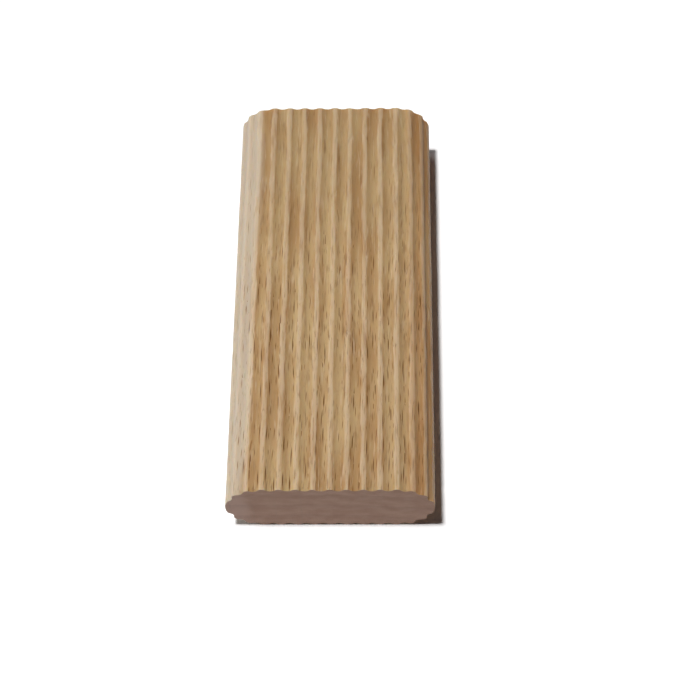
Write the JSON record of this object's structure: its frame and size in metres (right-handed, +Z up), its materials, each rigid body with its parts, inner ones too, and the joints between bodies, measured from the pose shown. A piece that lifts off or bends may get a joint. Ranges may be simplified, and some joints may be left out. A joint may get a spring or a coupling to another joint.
{
  "type": "loose tenon",
  "caption": "Flat beech strip with full-round edges and lengthwise glue flutes that joins two wooden parts by filling a matching mortise in each.",
  "frame": {"origin": "under the middle of the tenon, on the surface it lies on: the plane of the ridge tops of its lower wide face", "axes": "+Y along the length and the grain, +X across the width from one rounded edge to the other, +Z up through the thickness"},
  "size_m": [0.022, 0.05, 0.008],
  "materials": {
    "beech": "matte"
  },
  "bodies": {
    "root": {"loose_tenon": "beech"}
  },
  "joints": []
}
